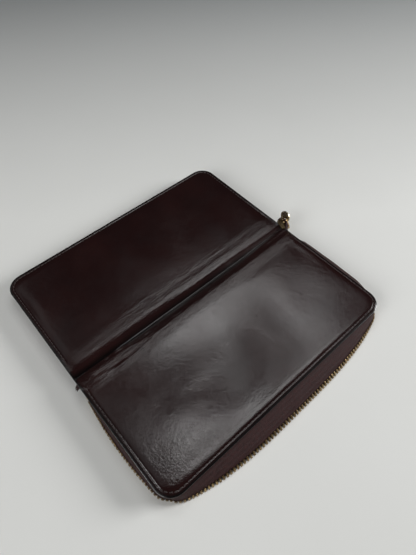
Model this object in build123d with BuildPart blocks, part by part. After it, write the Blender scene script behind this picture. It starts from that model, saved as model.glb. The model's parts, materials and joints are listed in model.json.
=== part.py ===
from build123d import *
import math
import os

# A zip around wallet lying open on its inside, with its outer leather up.
# Millimetres, +Z up. X runs along the spine, the near half lies at -Y and the far half at +Y.
# Everything is drawn about the middle of the spine and saved about the middle of the footprint.

# Driving dimensions
LENGTH = 195.0          # long side
DEPTH = 97.5            # middle of the spine to the long outer edge
HEIGHT = 12.0           # table to the outer face of the leather
CORNER = 12.0           # radius of the four outer corners
LEATHER = 1.2           # thickness of the outer leather
BOARD = 0.8             # thickness of the stiffener
SHEET = 0.6             # thickness of linings, pockets and zip tape
SPINE = 23.2            # width of the spine, also the closed thickness between the fold lines
SLOPE = 30.0            # each strip of the spine slopes down to the middle fold, degrees
FOLD_GAP = 0.9          # edge of the leather to a fold line
PITCH = 2.5             # main zip, tooth to tooth
COIN_PITCH = 2.0        # coin zip, tooth to tooth
STITCH = 3.0            # stitch to stitch

NEAR = -1
FAR = 1
SIDES = {"near": NEAR, "far": FAR}

# Fold lines
strip = SPINE / 2
fold_y = strip * math.cos(math.radians(SLOPE))
fold_z = HEIGHT - LEATHER / 2
valley_z = fold_z - strip * math.sin(math.radians(SLOPE))
tilt_y = math.sin(math.radians(SLOPE))
tilt_z = math.cos(math.radians(SLOPE))
near_strip = Plane(origin=(0, -fold_y, fold_z), x_dir=(1, 0, 0), z_dir=(0, tilt_y, tilt_z))
far_strip = Plane(origin=(0, 0, valley_z), x_dir=(1, 0, 0), z_dir=(0, -tilt_y, tilt_z))
STRIPS = {"near": near_strip, "far": far_strip}

# Levels of the layers, under the leather and going down
board_top = HEIGHT - LEATHER
lining_top = board_top - BOARD
lining_bottom = lining_top - SHEET
layer_step = SHEET + 0.05

# Main zip tape
TAPE_INSET = 0.7        # leather edge to the outer face of the tape
FLANGE = 2.8            # width of tape sewn in under the leather
FLARE_LONG = 10.7       # how far the free edge stands out beyond the long side
FLARE_SHORT = 3.1       # and beyond the short sides
FLARE_Z = 2.2           # level of the free edge
CURL = 1.7              # far half: radius of the tape where it turns in
TAPE_START = 2.0        # fold line to the end of the tape wall
STOP_AT = 0.9           # end of the tape to the middle of its top stop
FIRST_TOOTH = 2.6       # no tooth stands nearer to the end of the tape at the top stops

# Slider of the main zip
STUB_X = 101.5          # the plane of the tape where the closed chain stands outside the spine
SLIDER_OUT = 4.6        # middle of the slider above the fold lines of the near strip
SLIDER_LENGTH = 8.4
PULL_TILT = 78.0        # the pull stands up from pointing outwards by this angle

# The footprint, from the flared tape to the pull, sets where the origin is
FOOT_X = (-101.2, 107.0)
FOOT_Y = (-109.9, 97.5)
to_origin = Location((-sum(FOOT_X) / 2, -sum(FOOT_Y) / 2, 0))


def save(piece, name, place=Location()):
    """Label a finished piece, put it where it belongs and write its file."""
    placed = to_origin * place * piece
    placed.label = name
    export_step(placed, f"parts/{name}.step")


def bowed_outline(side, inset, start, bow_long=0.0, bow_short=0.0, height=0.0):
    """One half seen from above: a straight spine edge, two round corners and bowed free sides."""
    x = LENGTH / 2 - inset
    y = DEPTH - inset
    r = CORNER - inset
    y_spine = fold_y + start
    y_side = y - r
    x_side = x - r
    dy = y_side - y_spine
    with BuildSketch(Plane.XY.offset(height)) as outline:
        with BuildLine():
            left = Spline(
                (-x, side * y_spine),
                (-x - bow_short, side * (y_spine + dy * 0.55)),
                (-x, side * y_side),
                tangents=[(0, side), (0, side)],
            )
            ThreePointArc(
                left @ 1,
                (-x_side - r * math.sqrt(0.5), side * (y_side + r * math.sqrt(0.5))),
                (-x_side, side * y),
            )
            Spline(
                (-x_side, side * y),
                (-x_side * 0.5, side * (y + bow_long * 0.92)),
                (0, side * (y + bow_long)),
                (x_side * 0.5, side * (y + bow_long * 0.92)),
                (x_side, side * y),
                tangents=[(1, 0), (1, 0)],
            )
            ThreePointArc(
                (x_side, side * y),
                (x_side + r * math.sqrt(0.5), side * (y_side + r * math.sqrt(0.5))),
                (x, side * y_side),
            )
            right = Spline(
                (x, side * y_side),
                (x + bow_short, side * (y_spine + dy * 0.55)),
                (x, side * y_spine),
                tangents=[(0, -side), (0, -side)],
            )
            Line(right @ 1, left @ 0)
        make_face()
    return outline.sketch


def half_outline(side, inset, start, height):
    """One half with straight sides: a rectangle with its two outer corners rounded."""
    depth = DEPTH - inset - fold_y - start
    middle = side * (fold_y + start + depth / 2)
    with BuildSketch(Plane.XY.offset(height)) as outline:
        with Locations((0, middle)):
            Rectangle(LENGTH - 2 * inset, depth)
        outer = outline.vertices().sort_by(Axis.Y)
        fillet(outer[-2:] if side > 0 else outer[:2], CORNER - inset)
    return outline.sketch


def edge_path(side, inset, start, height):
    """Three sides of one half as a wire, from the spine round to the spine again."""
    x = LENGTH / 2 - inset
    y_spine = side * (fold_y + start)
    y = side * (DEPTH - inset)
    with BuildLine(Plane.XY.offset(height)) as path:
        FilletPolyline((-x, y_spine), (-x, y), (x, y), (x, y_spine), radius=CORNER - inset)
    return path.wires()[0]


def plate(side, inset, start, bottom, thickness, name):
    """A flat layer of one half."""
    with BuildPart() as layer:
        add(half_outline(side, inset, start, bottom))
        extrude(amount=thickness)
    save(layer.part, name)


def panel(x, width, y_near, y_far, bottom, name, thickness=SHEET):
    """A flat rectangular sheet between two Y values."""
    with BuildPart(Plane.XY.offset(bottom)) as sheet:
        with Locations((x, (y_near + y_far) / 2)):
            Box(width, abs(y_far - y_near), thickness, align=(Align.CENTER, Align.CENTER, Align.MIN))
    save(sheet.part, name)


def copies(piece, places):
    """Many separate copies of one small piece, such as teeth or stitches."""
    return Compound(children=[piece.moved(Location(place)) for place in places])


os.makedirs("parts", exist_ok=True)

# Covers: outer leather, stiffener and lining of each half
BOARD_INSET = 4.0
LINING_INSET = 1.6
for half, side in SIDES.items():
    plate(side, 0, FOLD_GAP, board_top, LEATHER, f"outer_leather_{half}")
    plate(side, BOARD_INSET, 3.0, lining_top, BOARD, f"stiffener_{half}")
    plate(side, LINING_INSET, 2.2, lining_bottom, SHEET, f"lining_{half}")

# Spine: two strips of leather, each with its own lining, that fold along three lines
lining_gap = 1.6
for half, plane in STRIPS.items():
    with BuildPart(plane) as spine_leather:
        with Locations((0, strip / 2, 0)):
            Box(LENGTH, strip - 2 * FOLD_GAP, LEATHER)
    save(spine_leather.part, f"spine_leather_{half}")
    with BuildPart(plane) as spine_lining:
        with Locations((0, strip / 2, -LEATHER / 2 - SHEET / 2)):
            Box(LENGTH - 2 * LINING_INSET, strip - 2 * lining_gap, SHEET)
    save(spine_lining.part, f"spine_lining_{half}")

# Stitches round the outer leather
STITCH_INSET = 2.6
STITCH_HIGH = 0.25
with BuildPart() as stitch:
    Box(2.2, 0.55, STITCH_HIGH, align=(Align.CENTER, Align.CENTER, Align.MIN))
    chamfer(stitch.edges().group_by(Axis.Z)[-1], 0.1)
for half, side in SIDES.items():
    path = edge_path(side, STITCH_INSET, 3.0, HEIGHT)
    number = round(path.length / STITCH)
    places = []
    for k in range(number):
        u = (k + 0.5) / number
        places.append(Plane(origin=path @ u, x_dir=path % u, z_dir=(0, 0, 1)))
    save(copies(stitch.part, places), f"stitching_{half}")

# One tooth of the main zip. Its legs hold the edge of the tape, which lies at z = 0.
TOOTH_OUT = 2.0
TOOTH_LEGS = 1.4
TOOTH_THICK = 2.2
LEG_GAP = SHEET + 0.5
with BuildPart() as tooth:
    with Locations((0, 0, -TOOTH_LEGS)):
        Box(1.2, TOOTH_THICK, TOOTH_LEGS + TOOTH_OUT, align=(Align.CENTER, Align.CENTER, Align.MIN))
        Box(
            1.4,
            LEG_GAP,
            TOOTH_LEGS + 0.15,
            align=(Align.CENTER, Align.CENTER, Align.MIN),
            mode=Mode.SUBTRACT,
        )
    chamfer(tooth.edges().group_by(Axis.Z)[-1], 0.3)

# Near zip tape: sewn in under the leather, then flaring out and down to its free edge
tape_top = board_top - 0.1
wall_in = TAPE_INSET + SHEET
with BuildPart() as tape_near:
    add(bowed_outline(NEAR, TAPE_INSET, TAPE_START, height=tape_top))
    add(bowed_outline(NEAR, TAPE_INSET, TAPE_START, FLARE_LONG, FLARE_SHORT, FLARE_Z))
    loft(ruled=True)
with BuildPart() as tape_near_inside:
    add(bowed_outline(NEAR, wall_in, TAPE_START - 4, height=tape_top))
    add(bowed_outline(NEAR, wall_in, TAPE_START - 4, FLARE_LONG, FLARE_SHORT, FLARE_Z))
    loft(ruled=True)
with BuildPart() as zip_tape_near:
    add(tape_near.part)
    add(tape_near_inside.part, mode=Mode.SUBTRACT)
    with BuildSketch(Plane.XY.offset(tape_top - SHEET)):
        add(half_outline(NEAR, TAPE_INSET, TAPE_START, 0))
        add(half_outline(NEAR, TAPE_INSET + FLANGE, TAPE_START - 4, 0), mode=Mode.SUBTRACT)
    extrude(amount=SHEET)
save(zip_tape_near.part, "zip_tape_near")

# Teeth along the free edge of the near tape, each in line with the slope of the tape there
edge_middle = TAPE_INSET + SHEET / 2
upper = bowed_outline(NEAR, edge_middle, TAPE_START, height=tape_top)
lower = bowed_outline(NEAR, edge_middle, TAPE_START, FLARE_LONG, FLARE_SHORT, FLARE_Z)
upper_edges = upper.faces()[0].outer_wire().edges()
lower_edges = lower.faces()[0].outer_wire().edges()


def match(edges, point):
    """The edge whose middle is nearest to a point, looking from above."""
    return min(edges, key=lambda e: math.hypot((e @ 0.5).X - point.X, (e @ 0.5).Y - point.Y))


near_places = []
for edge in lower_edges:
    top_edge = match(upper_edges, edge @ 0.5)
    if (edge @ 0.5).Y > -fold_y - 3:
        continue
    number = round((edge.length - 0.4) / PITCH)
    same_way = ((edge @ 0) - (top_edge @ 0)).length < ((edge @ 0) - (top_edge @ 1)).length
    for k in range(number):
        u = (k + 0.5) / number
        point = edge @ u
        if point.X < 0 and -fold_y - TAPE_START - point.Y < FIRST_TOOTH:
            continue
        above = top_edge @ (u if same_way else 1 - u)
        down = (point - above).normalized()
        near_places.append(Plane(origin=point, x_dir=edge % u, z_dir=down))
save(copies(tooth.part, near_places), "zip_teeth_near")

# Far zip tape: sewn in the same way, then straight down and turned in under the half
turn = math.radians(45)
arc_z = CURL + SHEET / 2
arc_n = edge_middle + CURL
turn_n = arc_n + CURL * math.cos(math.radians(-45))
turn_z = arc_z + CURL * math.sin(math.radians(-45))
tail = 2.0
edge_n = turn_n + tail * math.cos(turn)
edge_z = turn_z + tail * math.sin(turn)
x_wall = -LENGTH / 2
start_plane = Plane(origin=(x_wall, fold_y + TAPE_START, 0), x_dir=(1, 0, 0), z_dir=(0, -1, 0))
with BuildPart() as zip_tape_far:
    with BuildSketch(start_plane):
        with BuildLine():
            Line((TAPE_INSET + FLANGE, tape_top - SHEET / 2), (edge_middle + 0.3, tape_top - SHEET / 2))
            ThreePointArc(
                (edge_middle + 0.3, tape_top - SHEET / 2),
                (edge_middle + 0.3 * (1 - math.sqrt(0.5)), tape_top - SHEET / 2 - 0.3 * (1 - math.sqrt(0.5))),
                (edge_middle, tape_top - SHEET / 2 - 0.3),
            )
            Line((edge_middle, tape_top - SHEET / 2 - 0.3), (edge_middle, arc_z))
            ThreePointArc(
                (edge_middle, arc_z),
                (
                    arc_n - CURL * math.cos(math.radians(67.5)),
                    arc_z - CURL * math.sin(math.radians(67.5)),
                ),
                (turn_n, turn_z),
            )
            Line((turn_n, turn_z), (edge_n, edge_z))
        trace(line_width=SHEET)
    sweep(path=edge_path(FAR, 0, TAPE_START, 0), transition=Transition.ROUND)
save(zip_tape_far.part, "zip_tape_far")

# Teeth of the far tape, pointing in and up under the half
far_path = edge_path(FAR, edge_n, TAPE_START, edge_z)
number = int(far_path.length / PITCH)
far_places = []
for k in range(number):
    u = (k + 0.5) / number
    point = far_path @ u
    if point.X < 0 and point.Y - fold_y - TAPE_START < FIRST_TOOTH:
        continue
    along = far_path % u
    lean = Vector(along.Y * math.cos(turn), -along.X * math.cos(turn), math.sin(turn))
    far_places.append(Plane(origin=point, x_dir=along, z_dir=lean))
save(copies(tooth.part, far_places), "zip_teeth_far")

# Top stops: a small clamp past the last tooth of each tape, at the left end
with BuildPart() as stop:
    with Locations((0, 0, -TOOTH_LEGS)):
        Box(1.6, TOOTH_THICK, TOOTH_LEGS + 1.0, align=(Align.CENTER, Align.CENTER, Align.MIN))
        Box(
            2.0,
            LEG_GAP,
            TOOTH_LEGS + 0.15,
            align=(Align.CENTER, Align.CENTER, Align.MIN),
            mode=Mode.SUBTRACT,
        )
    chamfer(stop.edges().group_by(Axis.Z)[-1], 0.25)
near_stop = Plane(
    origin=(-LENGTH / 2 + edge_middle, -fold_y - TAPE_START - STOP_AT, FLARE_Z),
    x_dir=(0, 1, 0),
    z_dir=(0, 0, -1),
)
far_stop = Plane(
    origin=(-LENGTH / 2 + edge_n, fold_y + TAPE_START + STOP_AT, edge_z),
    x_dir=(0, 1, 0),
    z_dir=(math.cos(turn), 0, math.sin(turn)),
)
save(stop.part, "top_stop_near", Location(near_stop))
save(stop.part, "top_stop_far", Location(far_stop))

# Tails of the two tapes at the left end, folded in under the spine
TAIL_OUT = 3.6
for half, plane in STRIPS.items():
    with BuildPart(plane) as zip_tail:
        with Locations((-LENGTH / 2 - TAIL_OUT, strip / 2, -LEATHER / 2 - SHEET)):
            Box(16, 6.0, SHEET, align=(Align.MIN, Align.CENTER, Align.MAX))
        fillet(zip_tail.edges().filter_by(Axis((0, 0, 0), plane.z_dir)), 1.2)
    save(zip_tail.part, f"zip_tail_{half}")

# Right end of the zip, drawn about the slider: x across the chain, y along it to the closed end,
# z through it, away from the wallet
slider_at = near_strip.from_local_coords(Vector(STUB_X, strip, SLIDER_OUT))
slider_plane = Plane(origin=slider_at, x_dir=near_strip.y_dir, z_dir=(1, 0, 0))
on_slider = Location(slider_plane)

STUB_FROM = -1.4        # the closed chain starts past the wedge of the slider
STUB_TO = 5.7           # end of the tape behind the bottom stop
HALF_TAPE = 5.6
SLOT = SHEET + 0.3      # gap that the tape runs in
under_spine = -SLIDER_OUT - LEATHER / 2 - SHEET - 0.18    # level just below the spine lining
for half, side in SIDES.items():
    with BuildPart() as tape_end:
        with BuildSketch(Plane.XY.offset(-SHEET / 2)):
            with BuildLine():
                Polyline(
                    (side * 0.6, STUB_FROM),
                    (side * HALF_TAPE, STUB_FROM),
                    (side * HALF_TAPE, 3.2),
                    (side * 2.6, STUB_TO),
                    (side * 0.6, STUB_TO),
                    close=True,
                )
            make_face()
        extrude(amount=SHEET)
        if half == "near":
            # the tape turns the corner and runs in under the spine
            with BuildSketch(Plane.YZ.offset(-HALF_TAPE)):
                with BuildLine():
                    Polyline(
                        (STUB_FROM, SHEET / 2),
                        (3.2, SHEET / 2),
                        (3.2, -SHEET / 2 - 1.0),
                        (-1.0, -3.3),
                        (-5.4, -3.7),
                        (under_spine + 0.2, -5.1),
                        (under_spine, -5.5),
                        (under_spine, 88 - STUB_X),
                        (under_spine - 2.7, 88 - STUB_X),
                        (under_spine - 2.7, -6.2),
                        (under_spine - 0.5, -5.8),
                        (under_spine - 0.5, -3.2),
                        (-5.0, -1.7),
                        (STUB_FROM, -1.4),
                        close=True,
                    )
                make_face()
            extrude(amount=SHEET)
    save(tape_end.part, f"zip_tape_end_{half}", on_slider)

# Closed chain behind the slider: two rows of teeth, half a pitch apart
ROW_X = 2.6             # middle of the chain to the back of a tooth
with BuildPart() as chain_tooth:
    Box(1.15, TOOTH_THICK, 2.9, align=(Align.CENTER, Align.CENTER, Align.MIN))
    Box(1.4, SLOT, 2.1, align=(Align.CENTER, Align.CENTER, Align.MIN), mode=Mode.SUBTRACT)
    chamfer(chain_tooth.edges().group_by(Axis.Z)[-1], 0.2)
chain_places = []
for k in range(2):
    y = STUB_FROM + 0.7 + k * PITCH
    chain_places.append(Plane(origin=(ROW_X, y, 0), x_dir=(0, 1, 0), z_dir=(-1, 0, 0)))
    chain_places.append(Plane(origin=(-ROW_X, y + PITCH / 2, 0), x_dir=(0, 1, 0), z_dir=(1, 0, 0)))
save(copies(chain_tooth.part, chain_places), "zip_chain_end", on_slider)

with BuildPart() as bottom_stop:
    with Locations((0, 5.0, 0)):
        Box(4.8, 1.3, 2.8)
        Box(5.0, 1.5, SLOT, mode=Mode.SUBTRACT)
        Box(0.9, 1.3, 1.0)
    chamfer(bottom_stop.edges().group_by(Axis.Z)[-1].filter_by(Axis.Y), 0.4)
    chamfer(bottom_stop.edges().group_by(Axis.Z)[0].filter_by(Axis.Y), 0.4)
save(bottom_stop.part, "bottom_stop", on_slider)

# Slider: two wings joined by a wedge at the open end, with a crown on the outer face
WING = 2.4              # half the thickness over both wings
CHANNEL = 1.3           # half the thickness of the channel
half_length = SLIDER_LENGTH / 2
with BuildPart() as zip_slider:
    with BuildSketch(Plane.XY.offset(-WING)):
        with BuildLine():
            Polyline(
                (-3.6, half_length),
                (3.6, half_length),
                (4.4, -1.6),
                (3.8, -half_length),
                (-3.8, -half_length),
                (-4.4, -1.6),
                close=True,
            )
        make_face()
    extrude(amount=2 * WING)
    fillet(zip_slider.edges().filter_by(Axis.Z), 0.7)
    fillet(zip_slider.edges().group_by(Axis.Z)[-1], 0.4)
    with Locations((0, 1.7, 0)):
        Box(5.6, 7.4, 2 * CHANNEL, mode=Mode.SUBTRACT)
    with Locations((0, -3.6, 0)):
        Box(6.8, 3.6, 2 * CHANNEL, mode=Mode.SUBTRACT)
    Box(12, 12, SLOT, mode=Mode.SUBTRACT)
    with BuildSketch(Plane.XY.offset(-WING + 0.2)):
        with Locations((0, -2.85)):
            Ellipse(1.0, 1.3)
    extrude(amount=2 * WING - 0.4)
    # the crown, an arch that holds the pull
    with BuildSketch(Plane.YZ.offset(-0.9)):
        with Locations((0.2, WING - 0.1)):
            SlotOverall(5.2, 4.4)
            SlotOverall(3.8, 3.0, mode=Mode.SUBTRACT)
        with Locations((0.2, WING - 3.1)):
            Rectangle(8, 6, mode=Mode.SUBTRACT)
    extrude(amount=1.8)
save(zip_slider.part, "zip_slider", on_slider)

# Pull: a round-ended tab with a raised rim, hung on the crown by a bar
PIVOT_Z = WING + 0.68
PULL_LENGTH = 9.6
PULL_RADIUS = 4.7
PULL_THICK = 0.9
PULL_RECESS = 0.25
bar = PULL_THICK / 2
with BuildPart() as zip_puller:
    with BuildSketch(Plane.XZ.offset(-PULL_THICK / 2)):
        with Locations((0, 1.75 - bar / 2)):
            Rectangle(5.0, 3.5 + bar)
        with Locations((0, PULL_LENGTH - PULL_RADIUS)):
            Circle(PULL_RADIUS)
        with Locations((0, bar + 1.4)):
            RectangleRounded(2.6, 2.8, 0.4, mode=Mode.SUBTRACT)
    extrude(amount=PULL_THICK)
    for way in (1, -1):
        with BuildSketch(Plane.XZ.offset(way * PULL_THICK / 2)):
            with Locations((0, PULL_LENGTH - PULL_RADIUS)):
                Circle(PULL_RADIUS - 1.1)
        extrude(amount=-way * PULL_RECESS, mode=Mode.SUBTRACT)
pull_place = Location((0, 0.2, PIVOT_Z)) * Rotation(-PULL_TILT, 0, 0)
save(zip_puller.part, "zip_puller", on_slider * pull_place)

# Card slots: four stepped sheets in two columns in each half
COLUMN = 88.0
COLUMN_X = {"left": -46.0, "right": 46.0}
SLOT_BACK = 18.0
FIRST_MOUTH = 82.0
MOUTH_STEP = 10.0
for half, side in SIDES.items():
    first_top = lining_bottom - 0.05 if half == "near" else lining_bottom - 0.05 - layer_step
    for column, x in COLUMN_X.items():
        for k in range(4):
            bottom = first_top - SHEET - k * layer_step
            mouth = FIRST_MOUTH - k * MOUTH_STEP
            panel(x, COLUMN, side * SLOT_BACK, side * mouth, bottom, f"card_slot_{half}_{column}_{k + 1}")

# Far half: one long sheet behind the card slots makes the note pocket
panel(0, 180, 16, 85, lining_bottom - 0.05 - SHEET, "note_pocket")

# Coin pocket of the near half: two walls and three sides, with its mouth to the long outer edge
COIN_TOP = 6.7
coin_y = (-22.0, -86.0)
coin_x = 84.0
side_height = COIN_TOP - 2 * SHEET
panel(0, 2 * coin_x, coin_y[0], coin_y[1], COIN_TOP - SHEET, "coin_pocket_back")
panel(0, 2 * coin_x, coin_y[0], coin_y[1], 0, "coin_pocket_front")
panel(-coin_x + SHEET / 2, SHEET, coin_y[0], coin_y[1] + 1, SHEET, "coin_pocket_side_left", side_height)
panel(coin_x - SHEET / 2, SHEET, coin_y[0], coin_y[1] + 1, SHEET, "coin_pocket_side_right", side_height)
panel(0, 2 * coin_x - 2 * SHEET, coin_y[0], coin_y[0] - SHEET, SHEET, "coin_pocket_base", side_height)

# Coin zip across the mouth: the rows stand apart, because the pocket is drawn unzipped.
# It is drawn about the slider, with x along the chain, y up and z out of the pocket.
coin_mid_z = COIN_TOP / 2
coin_zip_y = coin_y[1] + SHEET / 2
COIN_RUN = 79.0
ROW_GAP = 0.6           # half the distance between the rows
COIN_EDGE = 1.2         # middle of the mouth to the edge of each tape
tape_reach = side_height / 2 - COIN_EDGE
mouth_plane = Plane(origin=(0, coin_zip_y, coin_mid_z), x_dir=(1, 0, 0), z_dir=(0, -1, 0))
on_mouth = Location(mouth_plane)
with BuildPart() as coin_tooth:
    Box(0.85, 1.3, 1.8)
    with Locations((0, COIN_EDGE - ROW_GAP - 0.75, 0)):
        Box(1.0, 1.5, SHEET + 0.2, align=(Align.CENTER, Align.MIN, Align.CENTER), mode=Mode.SUBTRACT)
    chamfer(coin_tooth.edges().filter_by(Axis.X).group_by(Axis.Y)[0], 0.2)
coin_count = int(2 * COIN_RUN / COIN_PITCH)
for row, way in (("upper", 1), ("lower", -1)):
    with BuildPart() as coin_tape:
        with Locations((0, way * (COIN_EDGE + tape_reach / 2), 0)):
            Box(2 * coin_x - 2 * SHEET, tape_reach, SHEET)
    save(coin_tape.part, f"coin_zip_tape_{row}", on_mouth)
    turned = Rotation(0, 0, 0) if way > 0 else Rotation(0, 0, 180)
    places = []
    for k in range(coin_count):
        x = -COIN_RUN + (k + 0.5) * COIN_PITCH
        places.append(Location((x, way * (ROW_GAP + 0.65), 0)) * turned)
    save(copies(coin_tooth.part, places), f"coin_zip_teeth_{row}", on_mouth)

with BuildPart() as coin_stops:
    for x in (-COIN_RUN - 1.6, COIN_RUN + 1.6):
        with Locations((x, 0, 0)):
            Box(1.6, 3.6, 2.2)
            Box(1.8, 3.8, SHEET + 0.2, mode=Mode.SUBTRACT)
            Box(1.6, 1.2, 1.2)
save(coin_stops.part, "coin_zip_stops", on_mouth)

# Coin slider and pull, at the left end of the mouth
COIN_SLIDER_X = -73.0
COIN_WING = 1.9
with BuildPart() as coin_slider:
    with BuildSketch(Plane.XY.offset(-COIN_WING)):
        SlotOverall(8.0, 5.0)
    extrude(amount=2 * COIN_WING)
    Box(9, 4.0, 2.2, mode=Mode.SUBTRACT)
    Box(9, 6, SHEET + 0.3, mode=Mode.SUBTRACT)
    with BuildSketch(Plane.XY.offset(-COIN_WING + 0.2)):
        SlotOverall(3.0, 0.6)
    extrude(amount=2 * COIN_WING - 0.4)
    with BuildSketch(Plane.XZ.offset(-0.6)):
        with Locations((0, COIN_WING - 0.1)):
            SlotOverall(4.4, 3.4)
            SlotOverall(3.0, 2.2, mode=Mode.SUBTRACT)
        with Locations((0, COIN_WING - 2.6)):
            Rectangle(8, 5, mode=Mode.SUBTRACT)
    extrude(amount=1.2)
on_coin_slider = on_mouth * Location((COIN_SLIDER_X, 0, 0))
save(coin_slider.part, "coin_zip_slider", on_coin_slider)

# The coin pull lies along the mouth, flat against the slider
COIN_PIVOT_Z = COIN_WING + 0.5
with BuildPart() as coin_puller:
    with BuildSketch(Plane.XY.offset(-0.35)):
        with Locations((2.8, 0)):
            RectangleRounded(6.2, 4.0, 0.25)
        with Locations((1.45, 0)):
            Rectangle(2.3, 1.8, mode=Mode.SUBTRACT)
        with Locations((4.3, 0)):
            Circle(0.8, mode=Mode.SUBTRACT)
    extrude(amount=0.7)
save(coin_puller.part, "coin_zip_puller", on_coin_slider * Location((0, 0, COIN_PIVOT_Z)))
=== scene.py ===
import json
import math

import bmesh
import bpy
import numpy as np
from mathutils import Matrix, Vector

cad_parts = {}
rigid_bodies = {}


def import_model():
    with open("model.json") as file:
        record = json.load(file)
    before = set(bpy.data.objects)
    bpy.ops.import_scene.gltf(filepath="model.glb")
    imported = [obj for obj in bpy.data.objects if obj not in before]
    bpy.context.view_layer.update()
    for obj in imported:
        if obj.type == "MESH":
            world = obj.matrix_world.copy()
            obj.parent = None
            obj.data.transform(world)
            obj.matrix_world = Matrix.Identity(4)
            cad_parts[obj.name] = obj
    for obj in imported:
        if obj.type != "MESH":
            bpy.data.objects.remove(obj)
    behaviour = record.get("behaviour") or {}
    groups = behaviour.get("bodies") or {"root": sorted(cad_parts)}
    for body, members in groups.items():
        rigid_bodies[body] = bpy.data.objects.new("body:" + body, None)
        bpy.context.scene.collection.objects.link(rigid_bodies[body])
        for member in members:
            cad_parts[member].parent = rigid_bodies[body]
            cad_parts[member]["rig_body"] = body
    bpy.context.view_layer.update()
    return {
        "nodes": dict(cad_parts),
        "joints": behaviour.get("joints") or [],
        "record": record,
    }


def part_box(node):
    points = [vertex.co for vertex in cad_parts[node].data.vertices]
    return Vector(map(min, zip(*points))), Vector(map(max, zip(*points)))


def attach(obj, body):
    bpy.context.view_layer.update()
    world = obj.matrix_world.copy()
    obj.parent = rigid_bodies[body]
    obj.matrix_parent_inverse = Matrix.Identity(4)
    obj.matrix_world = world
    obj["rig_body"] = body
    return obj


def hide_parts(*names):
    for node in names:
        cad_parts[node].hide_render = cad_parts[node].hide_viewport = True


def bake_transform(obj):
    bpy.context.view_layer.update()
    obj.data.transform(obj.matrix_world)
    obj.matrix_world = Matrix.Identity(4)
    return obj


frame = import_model()

# Shapes are worked out in millimetres about the middle of the spine, as the CAD draws them.
# x runs along the spine, y is negative on the near half, and z is up from the table.
MM = 0.001
near_lo, near_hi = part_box("outer_leather_near")
far_lo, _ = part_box("outer_leather_far")
CENTRE = Vector(((near_lo.x + near_hi.x) / 2, (near_hi.y + far_lo.y) / 2, 0.0))
HALF = (near_hi.x - near_lo.x) / 2 / MM
DEPTH = (CENTRE.y - near_lo.y) / MM
TOP = near_hi.z / MM
LEATHER = (near_hi.z - near_lo.z) / MM
CORNER = 12.0
NEAR = -1
FAR = 1
SIDES = {"near": NEAR, "far": FAR}
folds = {j["name"]: Vector(j["pos_m"]) for j in frame["joints"] if j["name"].startswith("fold")}
FOLD_Y = (CENTRE.y - folds["fold_near"].y) / MM
rng = np.random.default_rng(7)


def smooth(t):
    """0 to 1 with a soft start and end."""
    t = np.clip(t, 0, 1)
    return t * t * (3 - 2 * t)


def hump(value, middle, width):
    """A round bump of height 1."""
    return np.exp(-(((value - middle) / width) ** 2))


# ---------------------------------------------------------------- materials


class Look:
    """A material, and short ways to add its nodes. Positions in its textures are in millimetres."""

    def __init__(self, name, **fixed):
        self.material = bpy.data.materials.new(name)
        self.material.use_nodes = True
        self.tree = self.material.node_tree
        self.shader = self.tree.nodes["Principled BSDF"]
        for socket, value in fixed.items():
            self.shader.inputs[socket.replace("_", " ")].default_value = value
        self.heights = []

    def node(self, kind, inputs, output=0, **settings):
        made = self.tree.nodes.new("ShaderNode" + kind)
        for key, value in settings.items():
            setattr(made, key, value)
        for key, value in inputs.items():
            self.put(made.inputs[key], value)
        return made.outputs[output]

    def put(self, socket, value):
        if isinstance(value, bpy.types.NodeSocket):
            self.tree.links.new(value, socket)
        else:
            socket.default_value = value

    def math(self, operation, a, b=0.0):
        return self.node("Math", {0: a, 1: b}, operation=operation)

    def place(self, stretch=(1, 1, 1)):
        """Position on the piece, in millimetres."""
        where = self.node("TexCoord", {}, output="Object")
        scale = [s / MM for s in stretch]
        return self.node("VectorMath", {0: where, 1: scale}, operation="MULTIPLY")

    def stored(self, name, output="Fac"):
        """A value kept on the mesh."""
        return self.node("Attribute", {}, output=output, attribute_name=name)

    def noise(self, size, detail=3.0, where=None, roughness=0.55):
        where = where or self.place()
        inputs = {"Vector": where, "Scale": 1 / size, "Detail": detail, "Roughness": roughness}
        return self.node("TexNoise", inputs)

    def spread(self, value, from_lo, from_hi, to_lo=0.0, to_hi=1.0):
        inputs = {
            "Value": value,
            "From Min": from_lo,
            "From Max": from_hi,
            "To Min": to_lo,
            "To Max": to_hi,
        }
        return self.node("MapRange", inputs)

    def mix(self, factor, a, b):
        a = (*a, 1) if isinstance(a, tuple) else a
        b = (*b, 1) if isinstance(b, tuple) else b
        return self.node("Mix", {0: factor, 6: a, 7: b}, output=2, data_type="RGBA")

    def wave(self, along, pitch):
        """A row of soft ridges, 0 to 1."""
        turns = self.math("MULTIPLY", along, 2 * math.pi / pitch)
        return self.math("MULTIPLY_ADD", self.math("SINE", turns), 0.5)

    def colour(self, value):
        self.put(self.shader.inputs["Base Color"], value)

    def rough(self, value):
        self.put(self.shader.inputs["Roughness"], value)

    def raise_by(self, height, amount):
        """Adds to the relief: height from 0 to 1, amount in millimetres."""
        self.heights.append(self.math("MULTIPLY", height, amount))

    def done(self):
        total = self.heights[0]
        for extra in self.heights[1:]:
            total = self.math("ADD", total, extra)
        bump = self.node("Bump", {"Height": total, "Distance": MM, "Strength": 1.0})
        self.put(self.shader.inputs["Normal"], bump)
        return self.material


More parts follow.
